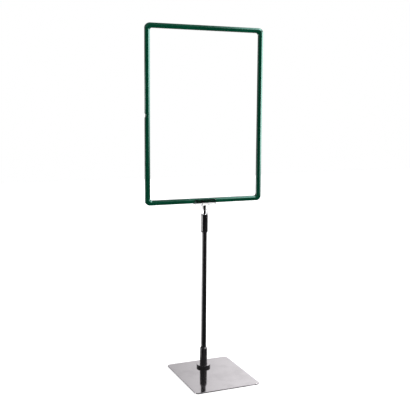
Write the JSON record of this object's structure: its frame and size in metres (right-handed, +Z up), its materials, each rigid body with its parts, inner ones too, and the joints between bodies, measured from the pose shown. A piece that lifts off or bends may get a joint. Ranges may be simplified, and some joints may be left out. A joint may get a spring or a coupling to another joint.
{
  "type": "sign stand",
  "caption": "Height-adjustable sign stand: a portrait poster frame in a clear swivelling clip on a telescopic pole with a flat rectangular base plate.",
  "frame": {"origin": "centre of the base plate's footprint, on the floor under its pads", "axes": "+Z up, -Y is the front that the sign faces, +X to the right as seen from the front"},
  "size_m": [0.311, 0.199, 0.8609],
  "materials": {
    "plated_plate": "bright plated, faint brushing and fine scratches",
    "pad_rubber": "matt rubber",
    "zinc_steel": "zinc plated, satin",
    "black_plastic": "semi-gloss moulded plastic",
    "black_tube": "gloss black powder coat",
    "nylon": "satin nylon",
    "clear_plastic": "clear polished plastic",
    "green_plastic": "glossy dark green moulding"
  },
  "bodies": {
    "foot": {"base_plate": "plated_plate", "pad_front_left": "pad_rubber", "pad_front_right": "pad_rubber", "pad_rear_left": "pad_rubber", "pad_rear_right": "pad_rubber", "base_collar": "black_plastic", "base_screw": "zinc_steel", "foot_socket": "black_plastic", "tube_insert": "zinc_steel", "outer_tube": "black_tube", "clamp_collet": "nylon"},
    "clamp": {"clamp_nut": "black_plastic"},
    "mast": {"mast_tube": "black_tube", "guide_bush": "nylon", "swivel_pin": "black_plastic"},
    "head": {"clear_clip": "clear_plastic", "poster_frame": "green_plastic"}
  },
  "joints": [
    {"name": "height_slide", "type": "slide", "parent": "foot", "child": "mast", "axis": [0, 0, 1], "range_m": [0, 0.26]},
    {"name": "clamp_twist", "type": "hinge", "parent": "foot", "child": "clamp", "pos_m": [0, 0.0555, 0.375], "axis": [0, 0, 1], "range_deg": [0, 180]},
    {"name": "head_swivel", "type": "hinge", "parent": "mast", "child": "head", "pos_m": [0, 0.0555, 0.41], "axis": [0, 0, 1], "continuous": true}
  ]
}
